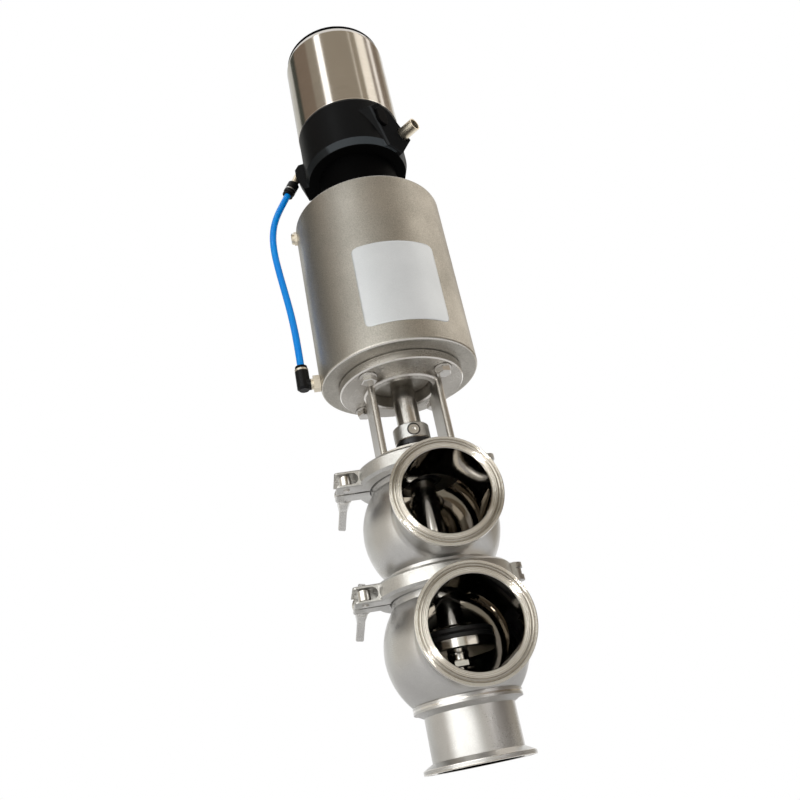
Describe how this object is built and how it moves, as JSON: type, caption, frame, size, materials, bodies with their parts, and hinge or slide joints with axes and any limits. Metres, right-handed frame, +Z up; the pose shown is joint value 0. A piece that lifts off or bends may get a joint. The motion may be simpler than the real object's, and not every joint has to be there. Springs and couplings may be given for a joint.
{
  "type": "pneumatic sanitary seat valve",
  "caption": "Pneumatic sanitary changeover valve with ball-shaped chambers, clamped joints, open yoke, spring actuator and control head.",
  "frame": {"origin": "centre of the bottom ferrule's face", "axes": "+Z up along the stem, both side ports face -Y, clamp bolts and air tube on the -X side"},
  "size_m": [0.1545, 0.1502, 0.6626],
  "materials": {
    "blasted_steel": "bead blasted satin stainless steel",
    "cast_clamp_steel": "cast stainless steel, tumbled",
    "polished_steel": "turned and polished stainless steel",
    "cap_steel": "drawn stainless cap, bright satin",
    "black_screw_steel": "blackened steel",
    "spring_steel": "coated spring steel",
    "cast_aluminium": "machined aluminium",
    "black_rubber": "black rubber",
    "bush_plastic": "bearing plastic",
    "black_plastic": "satin black moulded plastic",
    "nickel_brass": "nickel plated brass",
    "blue_tube": "blue polyurethane tube",
    "board_green": "coated circuit board",
    "magnet_grey": "sensor target"
  },
  "bodies": {
    "valve_housing": {"lower_body": "blasted_steel", "upper_body": "blasted_steel", "bonnet": "blasted_steel", "stem_bush": "bush_plastic", "stem_seal": "black_rubber", "body_gaskets": "black_rubber", "lower_clamp_front": "cast_clamp_steel", "lower_clamp_rear": "cast_clamp_steel", "upper_clamp_front": "cast_clamp_steel", "upper_clamp_rear": "cast_clamp_steel", "lug_pins": "polished_steel", "link_pins": "polished_steel", "hinge_links": "cast_clamp_steel", "yoke": "blasted_steel", "yoke_washers": "polished_steel", "yoke_bolts": "polished_steel", "actuator_shell": "blasted_steel", "actuator_bottom_cap": "blasted_steel", "actuator_top_cap": "blasted_steel", "rod_bush_lower": "bush_plastic", "rod_seal_lower": "black_rubber", "rod_bush_upper": "bush_plastic", "main_spring": "spring_steel", "vent_plug": "nickel_brass", "elbow_hex": "nickel_brass", "elbow_body": "black_plastic", "head_adapter": "black_plastic", "head_base": "black_plastic", "cap_seal": "black_rubber", "head_cap": "cap_steel", "cap_lid": "black_plastic", "blind_plug": "black_plastic", "connector_shell": "nickel_brass", "connector_insert": "black_plastic", "head_fitting_stub": "nickel_brass", "head_fitting_body": "black_plastic", "air_tube": "blue_tube", "sensor_board": "board_green", "solenoid_block": "black_plastic"},
    "valve_train": {"plug_stem": "polished_steel", "plug_disc": "polished_steel", "plug_seal": "black_rubber", "plug_retainer": "polished_steel", "plug_nut": "polished_steel", "coupling_collar": "polished_steel", "collar_screw": "black_screw_steel", "slotted_ring": "black_screw_steel", "actuator_rod": "polished_steel", "piston": "cast_aluminium", "piston_seal": "black_rubber", "piston_guide_ring": "bush_plastic", "piston_nut": "polished_steel", "sensor_target": "magnet_grey"},
    "lower_bolt": {"lower_swing_bolt": "polished_steel"},
    "lower_nut": {"lower_wing_nut": "cast_clamp_steel"},
    "upper_bolt": {"upper_swing_bolt": "polished_steel"},
    "upper_nut": {"upper_wing_nut": "cast_clamp_steel"},
    "elbow_release": {"elbow_release_ring": "black_plastic"},
    "head_release": {"head_release_ring": "black_plastic"}
  },
  "joints": [
    {"name": "plug_lift", "type": "slide", "parent": "valve_housing", "child": "valve_train", "axis": [0, 0, 1], "range_m": [0, 0.03], "stiffness_N_per_m": 4000, "springref_m": -0.005, "deforming": ["main_spring"]},
    {"name": "lower_bolt_swing", "type": "hinge", "parent": "valve_housing", "child": "lower_bolt", "pos_m": [-0.0595, -0.009, 0.1218], "axis": [0, 0, 1], "range_deg": [0, 80]},
    {"name": "lower_nut_turn", "type": "hinge", "parent": "lower_bolt", "child": "lower_nut", "pos_m": [-0.0595, 0.02, 0.1218], "axis": [0, 1, 0], "continuous": true},
    {"name": "upper_bolt_swing", "type": "hinge", "parent": "valve_housing", "child": "upper_bolt", "pos_m": [-0.0595, -0.009, 0.2094], "axis": [0, 0, 1], "range_deg": [0, 80]},
    {"name": "upper_nut_turn", "type": "hinge", "parent": "upper_bolt", "child": "upper_nut", "pos_m": [-0.0595, 0.02, 0.2094], "axis": [0, 1, 0], "continuous": true},
    {"name": "elbow_release_push", "type": "slide", "parent": "valve_housing", "child": "elbow_release", "axis": [0, 0, -1], "range_m": [0, 0.0012], "stiffness_N_per_m": 30},
    {"name": "head_release_push", "type": "slide", "parent": "valve_housing", "child": "head_release", "axis": [0.5045, 0, 0.8634], "range_m": [0, 0.0012], "stiffness_N_per_m": 30}
  ]
}
